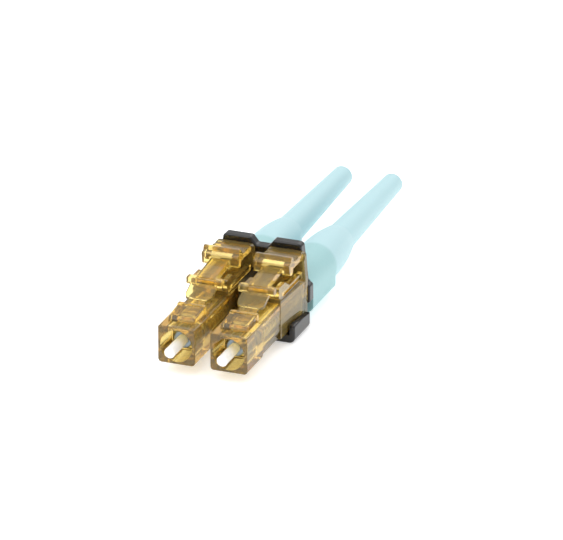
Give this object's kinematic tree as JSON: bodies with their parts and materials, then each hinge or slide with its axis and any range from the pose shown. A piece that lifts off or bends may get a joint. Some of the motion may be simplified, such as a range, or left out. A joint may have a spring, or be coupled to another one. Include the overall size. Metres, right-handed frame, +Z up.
{
  "type": "duplex fibre optic plug",
  "caption": "Duplex small-form-factor fibre optic plug end with translucent amber housings, latches, a black clip and tapered strain relief boots.",
  "frame": {"origin": "midway between the two ferrule axes, in the plane of the housings' front faces", "axes": "+X across the plugs to the right-hand plug, +Y from the ferrule tips back along the boots, +Z up towards the latches"},
  "size_m": [0.0124, 0.0549, 0.0098],
  "materials": {
    "amber_housing": "gloss",
    "zirconia": "polished",
    "flange_metal": "satin",
    "guide_tube": "satin",
    "fibre_buffer": "satin",
    "spring_steel": "polished",
    "post_metal": "satin",
    "aqua_boot": "matte",
    "black_clip": "gloss"
  },
  "bodies": {
    "root": {"duplex_clip": "black_clip", "plug_housing_left": "amber_housing", "plug_housing_right": "amber_housing", "rear_body_left": "amber_housing", "rear_body_right": "amber_housing", "ferrule_spring_left": "spring_steel", "ferrule_spring_right": "spring_steel", "crimp_post_left": "post_metal", "crimp_post_right": "post_metal", "crimp_sleeve_left": "post_metal", "crimp_sleeve_right": "post_metal", "boot_left": "aqua_boot", "boot_right": "aqua_boot"},
    "latch_left": {"latch_left": "amber_housing"},
    "trigger_left": {"trigger_left": "amber_housing"},
    "ferrule_left": {"ferrule_left": "zirconia", "ferrule_flange_left": "flange_metal", "guide_tube_left": "guide_tube", "fibre_left": "fibre_buffer"},
    "latch_right": {"latch_right": "amber_housing"},
    "trigger_right": {"trigger_right": "amber_housing"},
    "ferrule_right": {"ferrule_right": "zirconia", "ferrule_flange_right": "flange_metal", "guide_tube_right": "guide_tube", "fibre_right": "fibre_buffer"}
  },
  "joints": [
    {"name": "trigger_left_press", "type": "hinge", "parent": "root", "child": "trigger_left", "pos_m": [-0.00313, 0.01745, 0.00506], "axis": [1, 0, 0], "range_deg": [0, 15.5], "stiffness_Nm_per_rad": 0.03},
    {"name": "latch_left_bend", "type": "hinge", "parent": "root", "child": "latch_left", "pos_m": [-0.00313, 0.00562, 0.0025], "axis": [1, 0, 0], "range_deg": [-8, 0]},
    {"name": "ferrule_left_float", "type": "slide", "parent": "root", "child": "ferrule_left", "axis": [0, 1, 0], "range_m": [0, 0.001], "stiffness_N_per_m": 1800, "springref_m": -0.0028, "deforming": ["ferrule_spring_left"]},
    {"name": "trigger_right_press", "type": "hinge", "parent": "root", "child": "trigger_right", "pos_m": [0.00313, 0.01745, 0.00506], "axis": [1, 0, 0], "range_deg": [0, 15.5], "stiffness_Nm_per_rad": 0.03},
    {"name": "latch_right_bend", "type": "hinge", "parent": "root", "child": "latch_right", "pos_m": [0.00313, 0.00562, 0.0025], "axis": [1, 0, 0], "range_deg": [-8, 0]},
    {"name": "ferrule_right_float", "type": "slide", "parent": "root", "child": "ferrule_right", "axis": [0, 1, 0], "range_m": [0, 0.001], "stiffness_N_per_m": 1800, "springref_m": -0.0028, "deforming": ["ferrule_spring_right"]}
  ],
  "couplings": [
    {"joint": "latch_left_bend", "follows": "trigger_left_press", "ratio": -0.51},
    {"joint": "latch_right_bend", "follows": "trigger_right_press", "ratio": -0.51}
  ]
}
